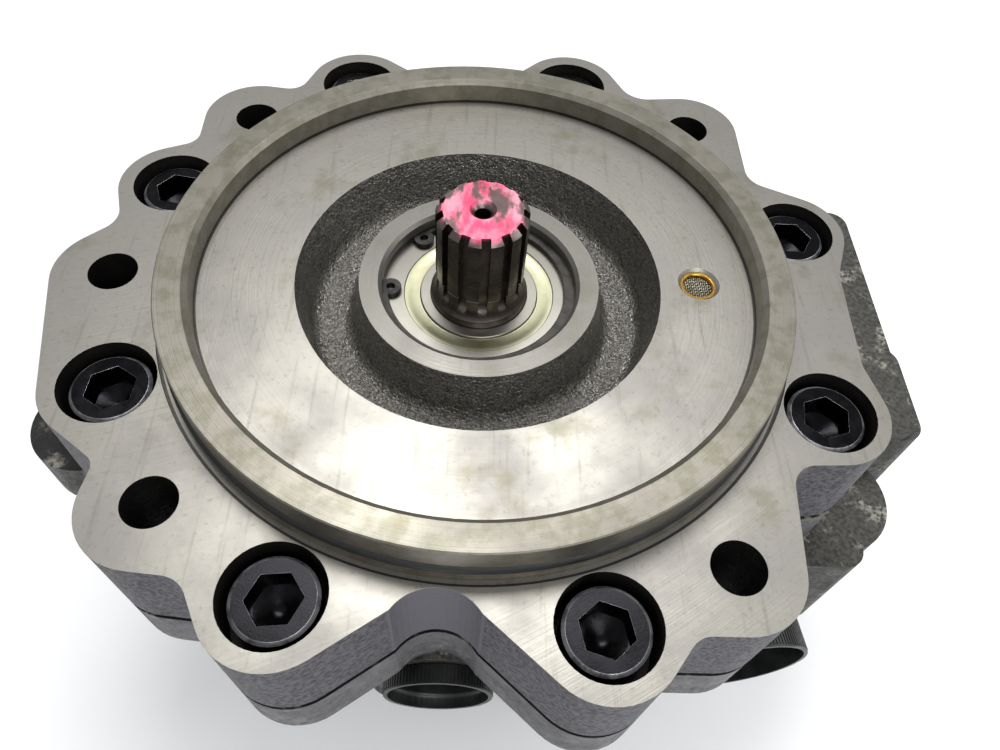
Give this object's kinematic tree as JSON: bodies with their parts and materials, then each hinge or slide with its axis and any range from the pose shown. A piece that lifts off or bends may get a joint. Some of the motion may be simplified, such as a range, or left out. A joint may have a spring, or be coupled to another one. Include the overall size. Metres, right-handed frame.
{
  "type": "hydraulic swing motor",
  "caption": "Axial piston swing motor with a scalloped mounting flange, raised register, splined shaft end, parking brake, relief valves and plastic port caps.",
  "frame": {"origin": "on the shaft axis, level with the flange's mounting face", "axes": "+Z along the shaft towards its splined end, +X towards the cast valve block, -Y towards the capped ports"},
  "size_m": [0.3925, 0.3292, 0.2741],
  "materials": {
    "flange_iron": "milled",
    "housing_iron": "rough cast",
    "cover_iron": "rough cast",
    "black_steel": "black oxide",
    "bright_steel": "ground",
    "shaft_steel": "machined",
    "bearing_steel": "ground",
    "zinc_steel": "zinc plated",
    "circlip_steel": "phosphated",
    "spring_steel": "oiled",
    "seal_rubber": "matte",
    "brass": "turned",
    "bronze": "machined",
    "mesh_steel": "woven wire",
    "cap_plastic": "moulded",
    "lining": "sintered lining",
    "zinc_valve": "zinc plated"
  },
  "bodies": {
    "housing": {"front_casing": "flange_iron", "main_housing": "housing_iron", "rear_cover": "cover_iron", "casing_screws": "black_steel", "rear_cover_screws": "black_steel", "dowel_pins": "bright_steel", "register_seal": "seal_rubber", "casing_seal": "seal_rubber", "rear_seal": "seal_rubber", "bearing_outer_ring": "bearing_steel", "bearing_shield": "zinc_steel", "bearing_circlip": "circlip_steel", "shaft_seal": "seal_rubber", "vent_filter_ring": "brass", "vent_filter_mesh": "mesh_steel", "swash_plate": "bright_steel", "valve_plate": "bronze", "rear_bearing": "bearing_steel", "separator_plates": "bright_steel", "brake_disc_springs": "spring_steel", "relief_body_left": "zinc_valve", "relief_spring_left": "spring_steel", "check_plug_left": "zinc_valve", "check_spring_left": "spring_steel", "relief_body_right": "zinc_valve", "relief_spring_right": "spring_steel", "check_plug_right": "zinc_valve", "check_spring_right": "spring_steel"},
    "rotor": {"drive_shaft": "shaft_steel", "bearing_inner_ring": "bearing_steel", "cylinder_block": "shaft_steel", "retainer_plate": "bright_steel", "ball_guide": "bright_steel", "centre_spring": "spring_steel", "friction_plates": "lining", "slippers": "bronze", "piston_1": "bright_steel", "piston_2": "bright_steel", "piston_3": "bright_steel", "piston_4": "bright_steel", "piston_5": "bright_steel", "piston_6": "bright_steel", "piston_7": "bright_steel", "piston_8": "bright_steel", "piston_9": "bright_steel"},
    "ball_set": {"bearing_balls": "bearing_steel", "bearing_cage": "bright_steel"},
    "brake_ring": {"brake_piston": "shaft_steel", "brake_seals": "seal_rubber"},
    "relief_valve_left": {"relief_poppet_left": "bright_steel"},
    "relief_valve_right": {"relief_poppet_right": "bright_steel"},
    "check_valve_left": {"check_poppet_left": "bright_steel"},
    "check_valve_right": {"check_poppet_right": "bright_steel"},
    "small_cap": {"port_cap_small": "cap_plastic"},
    "large_cap": {"port_cap_large": "cap_plastic"}
  },
  "joints": [
    {"name": "shaft_spin", "type": "hinge", "parent": "housing", "child": "rotor", "pos_m": [0, 0, 0], "axis": [0, 0, 1], "continuous": true},
    {"name": "cage_spin", "type": "hinge", "parent": "housing", "child": "ball_set", "pos_m": [0, 0, -0.0122], "axis": [0, 0, 1], "continuous": true},
    {"name": "brake_release", "type": "slide", "parent": "housing", "child": "brake_ring", "axis": [0, 0, -1], "range_m": [0, 0.003], "stiffness_N_per_m": 20000, "deforming": ["brake_disc_springs"]},
    {"name": "small_cap_pull", "type": "slide", "parent": "housing", "child": "small_cap", "axis": [0, -1, 0], "range_m": [0, 0.03]},
    {"name": "large_cap_pull", "type": "slide", "parent": "housing", "child": "large_cap", "axis": [0.1392, -0.9903, 0], "range_m": [0, 0.03]},
    {"name": "relief_lift_left", "type": "slide", "parent": "housing", "child": "relief_valve_left", "axis": [-1, 0, 0], "range_m": [0, 0.003], "stiffness_N_per_m": 3000, "deforming": ["relief_spring_left"]},
    {"name": "check_lift_left", "type": "slide", "parent": "housing", "child": "check_valve_left", "axis": [0, 0, -1], "range_m": [0, 0.004], "stiffness_N_per_m": 400, "deforming": ["check_spring_left"]},
    {"name": "relief_lift_right", "type": "slide", "parent": "housing", "child": "relief_valve_right", "axis": [1, 0, 0], "range_m": [0, 0.003], "stiffness_N_per_m": 3000, "deforming": ["relief_spring_right"]},
    {"name": "check_lift_right", "type": "slide", "parent": "housing", "child": "check_valve_right", "axis": [0, 0, -1], "range_m": [0, 0.004], "stiffness_N_per_m": 400, "deforming": ["check_spring_right"]}
  ],
  "couplings": [
    {"joint": "cage_spin", "follows": "shaft_spin", "ratio": 0.4013}
  ]
}
